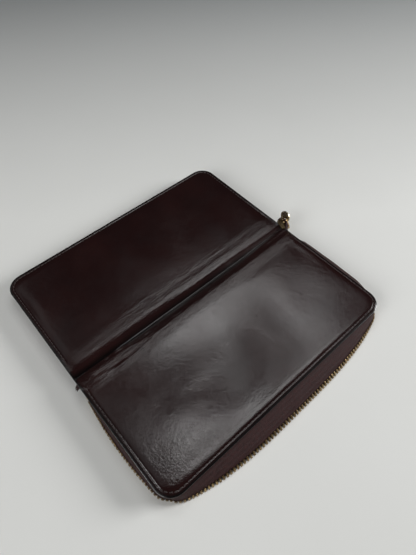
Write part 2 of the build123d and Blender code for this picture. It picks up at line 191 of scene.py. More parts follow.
def glazed_leather():
    """Polished oxblood leather. The mesh stores where its border and its folds are, and how deep in the
    valley along the spine it lies, where its colour carries painted shade.
    """
    look = Look("glazed_leather", IOR=1.55)
    border = look.stored("border")
    fold = look.stored("fold")
    tone = look.noise(34, 4)
    body = look.mix(look.spread(tone, 0.3, 0.7), (0.0092, 0.0026, 0.0026), (0.0160, 0.0048, 0.0044))
    fleck = look.spread(look.noise(1.6, 5), 0.42, 0.62)
    body = look.mix(look.math("MULTIPLY", fleck, 0.30), body, (0.0060, 0.0022, 0.0026))
    worn = look.math("MULTIPLY", fold, look.spread(look.noise(3.0, 6), 0.45, 0.75))
    body = look.mix(look.math("MULTIPLY", worn, 0.5), body, (0.024, 0.009, 0.0075))
    # Painted shade: the colour darkens to near black towards the bottom of the valley along the spine.
    body = look.mix(look.math("MULTIPLY", look.stored("deep"), 0.85), body, (0.0012, 0.0008, 0.0008))
    look.colour(look.mix(border, body, (0.0030, 0.0022, 0.0022)))
    scuff = look.spread(look.noise(22, 6), 0.35, 0.7, 0.12, 0.19)
    fine = look.spread(look.noise(0.9, 4), 0.3, 0.7, -0.02, 0.04)
    look.rough(look.math("ADD", look.math("ADD", scuff, fine), look.math("MULTIPLY", border, 0.06)))
    pores = look.node("TexVoronoi", {"Vector": look.place(), "Scale": 1.7}, feature="SMOOTH_F1")
    look.raise_by(pores, 0.022)
    look.raise_by(look.noise(1.2, 4), 0.034)
    look.raise_by(look.noise(2.4, 3), 0.050)
    look.raise_by(look.noise(7.0, 3), 0.05)
    wrinkle = look.spread(look.noise(1.1, 5, look.place((0.09, 1, 1))), 0.35, 0.65)
    look.raise_by(look.math("MULTIPLY", wrinkle, fold), 0.16)
    return look.done()


def inner_leather():
    """Plainer calf for the pockets, with a pressed line where the mesh says so."""
    look = Look("inner_leather", IOR=1.5)
    line = look.stored("border")
    tone = look.spread(look.noise(20, 4), 0.3, 0.7)
    body = look.mix(tone, (0.026, 0.0105, 0.0080), (0.040, 0.0165, 0.0120))
    look.colour(look.mix(look.math("MULTIPLY", line, 0.8), body, (0.007, 0.004, 0.004)))
    look.rough(look.spread(look.noise(2.2, 5), 0.3, 0.7, 0.38, 0.58))
    pores = look.node("TexVoronoi", {"Vector": look.place(), "Scale": 1.3}, feature="SMOOTH_F1")
    look.raise_by(pores, 0.05)
    look.raise_by(look.noise(1.0, 5), 0.05)
    return look.done()


def woven(name, dark, light, pitch, rough, relief, where=None):
    """Plain weave: threads over and under each other along x and y."""
    look = Look(name, Sheen_Weight=0.25, Sheen_Roughness=0.4)
    split = look.tree.nodes.new("ShaderNodeSeparateXYZ")
    look.put(split.inputs[0], look.place())
    warp = look.wave(split.outputs[0], pitch)
    weft = look.wave(split.outputs[1], pitch)
    upright = look.wave(split.outputs[2], pitch)
    threads = look.math("MULTIPLY", look.math("MULTIPLY", warp, weft), look.math("ADD", upright, 0.6))
    uneven = look.spread(look.noise(1.4, 5), 0.3, 0.7)
    shade = look.math("ADD", look.math("MULTIPLY", threads, 0.55), look.math("MULTIPLY", uneven, 0.45))
    look.colour(look.mix(shade, dark, light))
    look.rough(look.spread(uneven, 0, 1, rough - 0.08, rough + 0.08))
    look.raise_by(threads, relief)
    look.raise_by(uneven, relief * 0.5)
    return look.done()


def zip_twill():
    """Zip tape. The mesh stores its own length and width in millimetres, so the weave follows it."""
    look = Look("zip_twill", Specular_IOR_Level=0.22)
    split = look.tree.nodes.new("ShaderNodeSeparateXYZ")
    look.put(split.inputs[0], look.stored("run", "Vector"))
    along, across = split.outputs[0], split.outputs[1]
    chevron = look.math("PINGPONG", across, 1.5)
    twill = look.wave(look.math("ADD", along, chevron), 0.62)
    rib = look.wave(across, 0.5)
    uneven = look.spread(look.noise(1.8, 5), 0.3, 0.7)
    edge = look.spread(look.stored("border"), 0, 1)
    shade = look.math("ADD", look.math("MULTIPLY", twill, 0.5), look.math("MULTIPLY", uneven, 0.5))
    body = look.mix(shade, (0.0110, 0.0036, 0.0038), (0.046, 0.0165, 0.0160))
    look.colour(look.mix(edge, body, (0.012, 0.006, 0.006)))
    look.rough(look.spread(uneven, 0, 1, 0.55, 0.75))
    look.raise_by(twill, 0.09)
    look.raise_by(rib, 0.04)
    look.raise_by(uneven, 0.05)
    return look.done()


def aged_metal(name, bright, dull, rough):
    """Cast and tumbled metal: bright where it is handled, dull and stained elsewhere."""
    look = Look(name, Metallic=1.0)
    stain = look.spread(look.noise(2.6, 6), 0.38, 0.66)
    speck = look.spread(look.noise(0.35, 4), 0.52, 0.68)
    body = look.mix(stain, bright, dull)
    look.colour(look.mix(look.math("MULTIPLY", speck, 0.5), body, tuple(c * 0.35 for c in dull)))
    look.rough(look.spread(stain, 0, 1, rough, rough + 0.22))
    brushed = look.noise(0.25, 3, look.place((1, 0.15, 1)))
    look.raise_by(brushed, 0.012)
    look.raise_by(look.noise(0.8, 4), 0.02)
    return look.done()


def twisted_thread():
    """Waxed sewing thread, twisted along each stitch."""
    look = Look("twisted_thread", Sheen_Weight=0.2, Sheen_Roughness=0.4)
    split = look.tree.nodes.new("ShaderNodeSeparateXYZ")
    look.put(split.inputs[0], look.stored("run", "Vector"))
    twist = look.wave(look.math("ADD", split.outputs[0], split.outputs[1]), 0.45)
    uneven = look.spread(look.noise(0.7, 4), 0.3, 0.7)
    shade = look.math("MULTIPLY", twist, uneven)
    look.colour(look.mix(shade, (0.010, 0.0056, 0.0052), (0.052, 0.0280, 0.0230)))
    look.rough(look.spread(uneven, 0, 1, 0.42, 0.6))
    look.raise_by(twist, 0.06)
    return look.done()


def fibre_board():
    """Pressed board inside the covers."""
    look = Look("fibre_board")
    fibre = look.spread(look.noise(0.8, 6, look.place((0.25, 1, 1))), 0.3, 0.7)
    look.colour(look.mix(fibre, (0.10, 0.075, 0.055), (0.20, 0.155, 0.115)))
    look.rough(look.spread(fibre, 0, 1, 0.75, 0.92))
    look.raise_by(fibre, 0.06)
    return look.done()


LEATHER_LOOK = glazed_leather()
INNER_LOOK = inner_leather()
LINING_LOOK = woven("satin_lining", (0.012, 0.0075, 0.0065), (0.034, 0.020, 0.016), 0.42, 0.5, 0.05)
TWILL_LOOK = zip_twill()
BRASS_LOOK = aged_metal("antique_brass", (0.46, 0.33, 0.17), (0.13, 0.085, 0.045), 0.26)
NICKEL_LOOK = aged_metal("worn_nickel", (0.88, 0.80, 0.60), (0.48, 0.38, 0.22), 0.18)
THREAD_LOOK = twisted_thread()
BOARD_LOOK = fibre_board()
SLOT_LOOKS = {
    "outer_leather": LEATHER_LOOK,
    "inner_leather": INNER_LOOK,
    "lining": LINING_LOOK,
    "board": BOARD_LOOK,
    "zip_tape": TWILL_LOOK,
    "zip_metal": BRASS_LOOK,
    "thread": THREAD_LOOK,
}

# ---------------------------------------------------------------- meshes


def make(name, points, faces, slot, body=None, replaces=(), look=None, stored=None, sharp=50):
    """A new piece from points in millimetres. Its faces are turned outwards."""
    mesh = bpy.data.meshes.new(name)
    placed = np.asarray(points, float).reshape(-1, 3) * MM + np.array(CENTRE)
    mesh.from_pydata(placed.tolist(), [], [list(map(int, f)) for f in faces])
    for key, values in (stored or {}).items():
        values = np.asarray(values, np.float32)
        if values.ndim == 1:
            mesh.attributes.new(key, "FLOAT", "POINT").data.foreach_set("value", values)
        else:
            mesh.attributes.new(key, "FLOAT_VECTOR", "POINT").data.foreach_set("vector", values.ravel())
    work = bmesh.new()
    work.from_mesh(mesh)
    bmesh.ops.recalc_face_normals(work, faces=work.faces)
    work.to_mesh(mesh)
    work.free()
    mesh.materials.append(look or SLOT_LOOKS[slot])
    mesh.shade_smooth()
    mesh.set_sharp_from_angle(angle=math.radians(sharp))
    made = bpy.data.objects.new(name, mesh)
    bpy.context.scene.collection.objects.link(made)
    if body:
        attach(made, body)
    if replaces:
        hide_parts(*replaces)
    return made


def sheet_faces(rows, cols):
    """A closed sheet: a grid of points on top, the same grid below, and a rim that joins them."""
    index = np.arange(rows * cols).reshape(rows, cols)
    quads = [index[:-1, :-1], index[:-1, 1:], index[1:, 1:], index[1:, :-1]]
    top = np.stack(quads, -1).reshape(-1, 4)
    below = top[:, ::-1] + rows * cols
    rim = np.concatenate([index[0], index[1:, -1], index[-1, -2::-1], index[-2:0:-1, 0]])
    following = np.roll(rim, -1)
    sides = np.stack([following, rim, rim + rows * cols, following + rows * cols], -1)
    return np.concatenate([top, below, sides])


def grid_points(x, y, z):
    """The points of a grid, one after another."""
    return np.stack([x, y, z], -1).reshape(-1, 3)


def doubled(values):
    """Values for the top grid, used again for the grid below."""
    flat = np.asarray(values, float).reshape(-1)
    return np.concatenate([flat, flat])


def repeated(points, faces, places):
    """One small shape at many places. A place is an origin and three axes, as rows."""
    all_points = []
    all_faces = []
    for k, (origin, axes) in enumerate(places):
        all_points.append(points @ np.array(axes) + np.array(origin))
        all_faces.extend([[i + k * len(points) for i in face] for face in faces])
    return np.concatenate(all_points), all_faces


def bevelled(points, faces, width, segments=2):
    """The same shape with its sharp edges rounded."""
    work = bmesh.new()
    made = [work.verts.new(p) for p in points]
    for face in faces:
        work.faces.new([made[i] for i in face])
    bmesh.ops.recalc_face_normals(work, faces=work.faces)
    work.normal_update()
    edges = [e for e in work.edges if e.is_manifold and e.calc_face_angle() > math.radians(25)]
    bmesh.ops.bevel(work, geom=edges, offset=width, segments=segments, affect="EDGES", profile=0.5)
    work.verts.index_update()
    new_points = np.array([v.co for v in work.verts], float).reshape(-1, 3)
    new_faces = [[v.index for v in f.verts] for f in work.faces]
    work.free()
    return new_points, new_faces


def extruded(outline, low, high):
    """A flat outline in its first two coordinates, drawn out along the third."""
    count = len(outline)
    points = [(a, b, low) for a, b in outline] + [(a, b, high) for a, b in outline]
    faces = [list(range(count))[::-1], list(range(count, 2 * count))]
    faces += [[k, (k + 1) % count, (k + 1) % count + count, k + count] for k in range(count)]
    return np.array(points, float), faces


# ---------------------------------------------------------------- outer leather

SPINE_SLOPE = math.radians(47)
TURN_IN = 3.0           # near half: the leather is steepest from here down
TURN_IN_FAR = 1.2
TURN_OVER = 4.8         # and it levels out over this distance
VALLEY = 0.9            # half the width of the turn at the bottom
CREST = 0.15            # share of the slope that lasts on to the broad crest of the far half
CREST_FROM, CREST_OVER = 2.5, 7.5
SEAM = 5.0              # the three pieces of leather meet here, in the middle of each strip
STITCH_INSET = 2.6
RIM = 0.26              # radius of the painted edge
SKIVE = 2.4             # the leather is pared thin from below over this distance from its edge

across = np.linspace(0, 22, 1400)       # distance from the middle of the spine
bottom = 2 * smooth((across / VALLEY + 1) / 2) - 1


def climb_along(slope):
    """Height along a slope in radians, counted down from the level leather."""
    climb = np.cumsum(np.tan(slope)) * across[1]
    return climb - climb[-1]


near_turn = 1 - smooth((across - TURN_IN) / TURN_OVER)
far_turn = (1 - CREST) * (1 - smooth((across - TURN_IN_FAR) / TURN_OVER))
far_turn += CREST * (1 - smooth((across - CREST_FROM) / CREST_OVER))
near_climb = climb_along(SPINE_SLOPE * bottom * near_turn)
far_climb = climb_along(SPINE_SLOPE * bottom * far_turn)
near_climb *= far_climb[0] / near_climb[0]


# Near its ends the valley changes: how far along x each change starts, and over what length
RIGHT_FROM, RIGHT_OVER = 42, 48
LEFT_FROM, LEFT_OVER = 42, 26
FAR_FROM, FAR_OVER = 12, 62
NARROW_RIGHT = 0.50     # share of the near side's width that is lost at the right
NARROW_LEFT = 0.66      # and at the left
WIDE_LEFT = 0.50        # share that the far side gains towards the left
SHALLOW_RIGHT = 0.42    # share of the depth that is lost at the right


def left_end(x):
    """0 along the middle of the spine, 1 at its left end."""
    return smooth((-x - LEFT_FROM) / LEFT_OVER)


def valley_level(x, y):
    """The valley along the spine: its far side is wider at the left, and it is shallow at the right."""
    right = smooth((x - RIGHT_FROM) / RIGHT_OVER)
    near_width = 1 - NARROW_RIGHT * right - NARROW_LEFT * left_end(x)
    far_width = 1 + WIDE_LEFT * smooth((FAR_FROM - x) / FAR_OVER)
    reach = np.abs(y) / np.where(y < 0, near_width, far_width)
    level = np.where(y < 0, np.interp(reach, across, near_climb), np.interp(reach, across, far_climb))
    return (1 - SHALLOW_RIGHT * right) * level


def outline_inset(x, y):
    """Distance inwards from the rounded outline of the open wallet."""
    qx = np.abs(x) - (HALF - CORNER)
    qy = np.abs(y) - (DEPTH - CORNER)
    outside = np.hypot(np.maximum(qx, 0), np.maximum(qy, 0)) + np.minimum(np.maximum(qx, qy), 0)
    return CORNER - outside


def spread_plan(xs, ys, half=HALF, depth=DEPTH, radius=CORNER):
    """Rows and columns over an outline, with its four outer corners made round."""
    x, y = np.meshgrid(xs, ys)
    a = np.clip((np.abs(x) - (half - radius)) / radius, 0, 1)
    b = np.clip((np.abs(y) - (depth - radius)) / radius, 0, 1)
    corner = (a > 0) & (b > 0)
    round_x = np.sign(x) * (half - radius + radius * a * np.sqrt(1 - b * b / 2))
    round_y = np.sign(y) * (depth - radius + radius * b * np.sqrt(1 - a * a / 2))
    return np.where(corner, round_x, x), np.where(corner, round_y, y)


# Long soft waves in the leather
WAVES = []
for _ in range(14):
    length = rng.uniform(38, 120)
    heading = rng.uniform(0, math.pi)
    WAVES.append((2 * math.pi / length, heading, rng.uniform(0, 2 * math.pi), length / 120))

# Broad swellings and dents: middle x, y, half widths, heading in degrees, height
SWELLS = [
    (-42, -80, 44, 9, 3, 0.30),
    (-44, -50, 34, 10, 4, -0.40),
    (20, -56, 7, 30, 6, -0.08),
    (46, -50, 16, 26, 8, 0.25),
    (-6, -46, 20, 22, 20, 0.25),
    (88, -26, 12, 12, 0, -0.05),
    (-88, 66, 9, 15, 0, 0.40),
    (30, 55, 60, 30, 0, 0.15),
    (-90, -7, 26, 4.5, 0, 1.70),
]

# Creases along the valley: x from, x to, y at both and a bow between them, depth, width
CREASES = [
    (-96, -34, -9.0, -7.5, -3.6, 0.60, 0.60),
    (-94, -14, -3.0, -7.0, 0.6, 0.55, 0.55),
    (-92, -50, -0.5, -2.5, 1.2, 0.40, 0.50),
    (-97, -60, -12.5, -12.0, -2.0, 0.25, 0.50),
    (-60, 30, -8.6, -8.4, 0.3, 0.12, 0.60),
    (-30, 96, 12.4, 13.4, 0.3, 0.10, 0.90),
    (58, 97, -5.5, -2.5, 0.5, 0.30, 0.80),
]


PLUMP_NEAR = 1.15       # how much the near half stands up inside its edge
PLUMP_FAR = 0.45
SHOULDER = 6.2          # the near half falls to its edge over this distance
RISE_FROM, RISE_OVER = 4.8, 5.0
RISE_SHIFT = 5.0        # at the left end it rises this much nearer to the spine
WAVE_NEAR, WAVE_FAR = 0.075, 0.035
GROOVE = 0.20           # depth of the groove that the stitches lie in


def leather_level(x, y, d):
    """Height of the outer face of the leather, before its edge is rounded."""
    z = TOP + valley_level(x, y)
    free = smooth((d - 2.5) / 9.0)
    ends = smooth((HALF - np.abs(x)) / 14.0)
    rise = smooth((-y - RISE_FROM + RISE_SHIFT * left_end(x)) / RISE_OVER)
    shoulder = 1 - (1 - np.clip(d / SHOULDER, 0, 1)) ** 2
    z = z + PLUMP_NEAR * rise * shoulder
    z = z + PLUMP_FAR * smooth((y - 4.0) / 4.5) * smooth((d - 2.0) / 6.0)
    z = z + ends * (0.30 * hump(y, -10.5, 3.5) + 0.20 * hump(y, 9.0, 2.8))
    for mid_x, mid_y, half_x, half_y, heading, height in SWELLS:
        c, s = math.cos(math.radians(heading)), math.sin(math.radians(heading))
        u = (c * (x - mid_x) + s * (y - mid_y)) / half_x
        v = (-s * (x - mid_x) + c * (y - mid_y)) / half_y
        z = z + free * height * np.exp(-(u**2) - v**2)
    flat = smooth((np.abs(y) - 12) / 12)
    for turns, heading, phase, share in WAVES:
        ahead = x * math.cos(heading) + y * math.sin(heading)
        wave = share * np.sin(turns * ahead + phase)
        z = z + np.where(y < 0, WAVE_NEAR, WAVE_FAR) * free * flat * wave
    for x_from, x_to, y_from, y_to, bow, depth, width in CREASES:
        t = (x - x_from) / (x_to - x_from)
        line = y_from + (y_to - y_from) * t + bow * np.sin(math.pi * np.clip(t, 0, 1))
        fade = smooth(t / 0.12) * smooth((1 - t) / 0.35)
        z = z - depth * fade * np.exp(-np.abs(y - line) / width)
    return z - GROOVE * hump(d, STITCH_INSET, 0.5) * smooth((np.abs(y) - 11) / 2)


def rim_drop(d):
    """How far the edge of the leather is rounded off, at a distance inside its outline."""
    short = RIM - np.clip(d, 0, RIM)
    return RIM - np.sqrt(RIM**2 - short**2)


EDGE_STEPS = [0, 0.03, 0.09, 0.17, 0.26, 0.5, 0.9, 1.3, 1.7, 2.0, 2.2, 2.4, 2.6, 2.8, 3.0, 3.2, 3.6]
EDGE_STEPS += [4.2, 5.0, 6.0, 7.2, 8.4, 9.6, 10.8, 12.0]
edge_steps = np.array(EDGE_STEPS)
middle_x = np.linspace(-(HALF - CORNER), HALF - CORNER, 147)[1:-1]
XS = np.concatenate([edge_steps - HALF, middle_x, (HALF - edge_steps)[::-1]])
open_rows = np.arange(-(DEPTH - CORNER) + 1.2, -26, 1.2)
turn_rows = np.arange(-25.5, -SEAM - 0.2, 0.38)
near_rows = np.concatenate([edge_steps - DEPTH, open_rows, turn_rows, [-SEAM]])
spine_rows = np.linspace(-SEAM, SEAM, 29)


def leather_piece(name, ys, replaces):
    x, y = spread_plan(XS, ys)
    d = outline_inset(x, y)
    level = leather_level(x, y, d)
    cut = rim_drop(d)
    top = grid_points(x, y, level - cut)
    pared = (LEATHER - 2 * RIM - 0.05) * (1 - smooth(d / SKIVE))
    below = grid_points(x, y, level - LEATHER + cut + pared)
    border = 1 - smooth((d - 0.5) / 1.6)
    fold = np.maximum(hump(y, -10, 6), hump(y, 11, 5))
    # Painted shade mask: 1 deep in the valley along the spine, where the leather's colour is darkened.
    deep = smooth((TOP - 0.8 - level) / 2.6)
    stored = {"border": doubled(border), "fold": doubled(fold), "deep": doubled(deep)}
    faces = sheet_faces(len(ys), len(XS))
    return make(name, np.concatenate([top, below]), faces, "outer_leather", None, replaces, stored=stored)


leather_near = leather_piece("leather_near", near_rows, ["outer_leather_near"])
leather_spine = leather_piece("leather_spine", spine_rows, ["spine_leather_near", "spine_leather_far"])
leather_far = leather_piece("leather_far", -near_rows[::-1], ["outer_leather_far"])

def bend_at_folds(near, spine, far):
    """Bakes the placing of the three pieces of one layer into their points."""
    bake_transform(near)
    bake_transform(spine)
    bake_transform(far)


bend_at_folds(leather_near, leather_spine, leather_far)

# ---------------------------------------------------------------- paths round each half


def half_path(side, inset, start, step):
    """Points, inward normals and lengths along three sides of one half, from spine to spine."""
    x = HALF - inset
    y = DEPTH - inset
    r = CORNER - inset
    short = y - r - FOLD_Y - start
    long = 2 * (x - r)
    arc = math.pi / 2 * r
    total = 2 * short + 2 * arc + long
    count = int(round(total / step))
    s = (np.arange(count + 1)) * total / count
    points = np.zeros((len(s), 2))
    inward = np.zeros((len(s), 2))
    for k, at in enumerate(s):
        if at <= short:
            points[k] = (-x, FOLD_Y + start + at)
            inward[k] = (1, 0)
        elif at <= short + arc:
            a = (at - short) / r
            points[k] = (-(x - r) - r * math.cos(a), y - r + r * math.sin(a))
            inward[k] = (math.cos(a), -math.sin(a))
        elif at <= short + arc + long:
            points[k] = (-(x - r) + at - short - arc, y)
            inward[k] = (0, -1)
        elif at <= short + 2 * arc + long:
            a = (at - short - arc - long) / r
            points[k] = (x - r + r * math.sin(a), y - r + r * math.cos(a))
            inward[k] = (-math.sin(a), -math.cos(a))
        else:
            points[k] = (x, y - r - (at - short - 2 * arc - long))
            inward[k] = (-1, 0)
    points[:, 1] *= side
    inward[:, 1] *= side
    corners = (short + arc / 2, short + arc * 1.5 + long)
    return points, inward, s, corners


def leather_at(x, y):
    """Height of the outer face of the leather at these places."""
    x, y = np.atleast_1d(np.asarray(x, float)), np.atleast_1d(np.asarray(y, float))
    d = outline_inset(x, y)
    return leather_level(x, y, d) - rim_drop(d)


# ---------------------------------------------------------------- stitches

STITCH_PITCH = 3.0
STITCH_LONG = 2.3
THREAD = 0.30           # radius of the thread
STITCH_SAG = 0.34
STITCH_START = 4.5      # from the fold line to the first stitch


def capsule(length, radius, sag):
    """One stitch: a thread that comes up, lies on the leather and goes down again."""
    rings, sides = 9, 8
    points = []
    run = []
    for k in range(rings):
        t = k / (rings - 1)
        fat = radius * (0.45 + 0.55 * math.sin(math.pi * t) ** 0.5)
        x = (t - 0.5) * length
        z = radius * 0.55 - sag * (2 * t - 1) ** 4
        for j in range(sides):
            a = 2 * math.pi * j / sides
            points.append((x, fat * math.cos(a), z + fat * 0.8 * math.sin(a)))
            run.append((x, a / (2 * math.pi) * 0.9, 0))
    faces = [list(range(sides))[::-1], list(range((rings - 1) * sides, rings * sides))]
    for k in range(rings - 1):
        for j in range(sides):
            a, b = k * sides + j, k * sides + (j + 1) % sides
            faces.append([a, b, b + sides, a + sides])
    return np.array(points), faces, np.array(run)


stitch_points, stitch_faces, stitch_run = capsule(STITCH_LONG, THREAD, STITCH_SAG)


def stitch_row(name, middle, along, slot, body, replaces=(), up=1):
    """Stitches at these middles, along these flat directions, on an upper or a lower face."""
    places = []
    for point, way in zip(middle, along):
        flat = np.array([way[0], way[1], 0.0]) / math.hypot(*way[:2])
        lean = math.radians(rng.uniform(-4, 4))
        flat = np.array([
            flat[0] * math.cos(lean) - flat[1] * math.sin(lean),
            flat[0] * math.sin(lean) + flat[1] * math.cos(lean),
            0.0,
        ])
        side = np.array([-flat[1], flat[0], 0.0])
        places.append((np.array(point), [flat, side * up, [0, 0, up]]))
    points, faces = repeated(stitch_points, stitch_faces, places)
    stored = {"run": np.tile(stitch_run, (len(places), 1))}
    return make(name, points, faces, slot, body, replaces, stored=stored, sharp=70)


for half, side in SIDES.items():
    path, inward, s, _ = half_path(side, STITCH_INSET, STITCH_START, STITCH_PITCH)
    middle = (path[1:] + path[:-1]) / 2
    along = path[1:] - path[:-1]
    level = leather_at(middle[:, 0], middle[:, 1])
    centres = np.column_stack([middle, level])
    stitch_row(f"stitches_{half}", centres, along, "thread", half + "_half", [f"stitching_{half}"])

# ---------------------------------------------------------------- linings

LINING = 0.6
LINING_GAP = 0.05
LINING_INSET = 1.6
TAIL_GAP = 0.08
BOARD_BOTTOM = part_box("stiffener_near")[0].z / MM
lining_half = HALF - LINING_INSET
lining_depth = DEPTH - LINING_INSET
lining_columns = np.linspace(-lining_half, lining_half, 91)
lining_rows = np.concatenate([np.arange(-lining_depth, -24, 2.4), np.arange(-24, -SEAM, 0.8), [-SEAM]])


def lining_top(x, y):
    """The lining lies under the board of each half and follows the leather through the spine."""
    under_leather = leather_level(x, y, outline_inset(x, y)) - LEATHER - LINING_GAP
    in_spine = 1 - smooth((np.abs(y) - 9.2) / 3.6)
    flat = BOARD_BOTTOM + 0.03 * np.sin(x / 13) * np.sin(y / 9 + 1)
    return flat + (under_leather - flat) * in_spine


def lining_piece(name, ys, replaces):
    x, y = spread_plan(lining_columns, ys, lining_half, lining_depth, CORNER - LINING_INSET)
    top = lining_top(x, y)
    points = np.concatenate([grid_points(x, y, top), grid_points(x, y, top - LINING)])
    return make(name, points, sheet_faces(len(ys), len(lining_columns)), "lining", None, replaces)


lining_near = lining_piece("cloth_near", lining_rows, ["lining_near"])
spine_linings = ["spine_lining_near", "spine_lining_far"]
lining_spine = lining_piece("cloth_spine", np.linspace(-SEAM, SEAM, 15), spine_linings)
lining_far = lining_piece("cloth_far", -lining_rows[::-1], ["lining_far"])
bend_at_folds(lining_near, lining_spine, lining_far)

# ---------------------------------------------------------------- pockets

PANEL_RIM = 0.24        # radius of the turned edges of the pocket sheets


def steps_between(low, high, step):
    """Even steps with finer ones at both ends, for a rounded rim."""
    rim = np.array([0, 0.03, 0.10, 0.24, 0.7, 1.2, 1.7])
    count = max(2, int(round((high - low - 4) / step)))
    return np.concatenate([low + rim, np.linspace(low + 2.4, high - 2.4, count), high - rim[::-1]])


def box_mm(node):
    """The box of a CAD node in millimetres about the middle of the spine."""
    low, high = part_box(node)
    return (np.array(low) - np.array(CENTRE)) / MM, (np.array(high) - np.array(CENTRE)) / MM


def pocket_sheet(node, name, slot, look, body, radius=2.5, fullness=0.0):
    """A soft sheet in place of a flat one: round corners, turned edges and a little unevenness."""
    low, high = box_mm(node)
    size = high - low
    thin = int(np.argmin(size))
    across, along = [axis for axis in range(3) if axis != thin]
    half_u, half_v = size[across] / 2, size[along] / 2
    radius = min(radius, half_u * 0.6, half_v * 0.6)
    us = steps_between(-half_u, half_u, 3.0) if size[across] > 8 else np.linspace(-half_u, half_u, 9)
    vs = steps_between(-half_v, half_v, 3.0) if size[along] > 8 else np.linspace(-half_v, half_v, 9)
    u, v = spread_plan(us, vs, half_u, half_v, radius)
    inside = np.minimum(half_u - np.abs(u), half_v - np.abs(v))
    drop = PANEL_RIM - np.sqrt(PANEL_RIM**2 - (PANEL_RIM - np.clip(inside, 0, PANEL_RIM)) ** 2)
    middle = (low + high) / 2
    x, y = u + middle[across], v + middle[along]
    uneven = 0.07 + 0.06 * np.sin(x / 15) * np.sin(y / 11 + 0.8) if thin == 2 else 0.05 * np.sin(x / 5)
    swell = fullness * smooth(inside / max(inside.max(), 0.1))
    grids = []
    for way in (1, -1):
        grid = np.zeros((*u.shape, 3))
        grid[..., across] = x
        grid[..., along] = y
        grid[..., thin] = middle[thin] + way * (size[thin] / 2 - drop) + uneven + swell
        grids.append(grid.reshape(-1, 3))
    border = hump(inside, 1.5, 0.35)
    run = grid_points(x, y, np.zeros_like(x))
    stored = {"border": doubled(border), "run": np.concatenate([run, run])}
    return make(name, np.concatenate(grids), sheet_faces(len(vs), len(us)), slot, body, [node],
                look, stored, sharp=60)


def seam(name, stops, level, body, up):
    """Straight seams through these stops, at a level that may depend on x and y."""
    middles = []
    ways = []
    for start, end in zip(stops[:-1], stops[1:]):
        start, end = np.array(start, float), np.array(end, float)
        count = int(np.linalg.norm(end - start) / STITCH_PITCH)
        for k in range(count):
            flat = start + (end - start) * (k + 0.5) / count
            middles.append([flat[0], flat[1], level(flat[0], flat[1])])
            ways.append(end - start)
    stitch_row(name, middles, ways, "thread", body, up=up)


SLOTS_IN_COLUMN = 4
SLOT_SEAM_INSET = 2.2
for half, side in SIDES.items():
    for column in ("left", "right"):
        boxes = []
        for k in range(1, SLOTS_IN_COLUMN + 1):
            node = f"card_slot_{half}_{column}_{k}"
            boxes.append(box_mm(node))
            name = f"card_sheet_{half}_{column}_{k}"
            pocket_sheet(node, name, "inner_leather", INNER_LOOK, half + "_half")
        mouths = [max(abs(low[1]), abs(high[1])) for low, high in boxes]
        undersides = [low[2] for low, high in boxes]

        def slot_underside(x, y):
            showing = [z for mouth, z in zip(mouths, undersides) if abs(y) < mouth - 0.5]
            return min(showing) + 0.07

        first_low, first_high = boxes[0]
        left, right = first_low[0] + SLOT_SEAM_INSET, first_high[0] - SLOT_SEAM_INSET
        back = min(abs(first_low[1]), abs(first_high[1])) + SLOT_SEAM_INSET
        front = mouths[0] - SLOT_SEAM_INSET
        stops = [(left, side * front), (left, side * back), (right, side * back), (right, side * front)]
        seam(f"slot_seam_{half}_{column}", stops, slot_underside, half + "_half", -1)

pocket_sheet("note_pocket", "note_sheet", "inner_leather", INNER_LOOK, "far_half")
# CAD node, name, corner radius, fullness
COIN_CLOTHS = [
    ("coin_pocket_back", "coin_cloth_back", 4.0, 0.0),
    ("coin_pocket_front", "coin_cloth_front", 4.0, 0.0),
    ("coin_pocket_side_left", "coin_cloth_left", 0.8, 0.7),
    ("coin_pocket_side_right", "coin_cloth_right", 0.8, -0.7),
    ("coin_pocket_base", "coin_cloth_base", 0.8, 0.0),
]
for node, name, radius, fullness in COIN_CLOTHS:
    pocket_sheet(node, name, "lining", LINING_LOOK, "near_half", radius, fullness)
for row in ("upper", "lower"):
    pocket_sheet(f"coin_zip_tape_{row}", f"coin_tape_{row}", "zip_tape", TWILL_LOOK, "near_half", 0.4)

COIN_SEAM_INSET = 2.5
COIN_SEAM_RAISED = 0.52                 # into the cloth, so that the thread stays off the table
coin_low, coin_high = box_mm("coin_pocket_front")
coin_left, coin_right = coin_low[0] + COIN_SEAM_INSET, coin_high[0] - COIN_SEAM_INSET
coin_back, coin_mouth = coin_high[1] - COIN_SEAM_INSET, coin_low[1] + COIN_SEAM_INSET
coin_stops = [
    (coin_left, coin_mouth), (coin_left, coin_back), (coin_right, coin_back), (coin_right, coin_mouth),
]
seam("coin_seam", coin_stops, lambda x, y: coin_low[2] + COIN_SEAM_RAISED, "near_half", -1)

# ---------------------------------------------------------------- loose ends of the zip tape

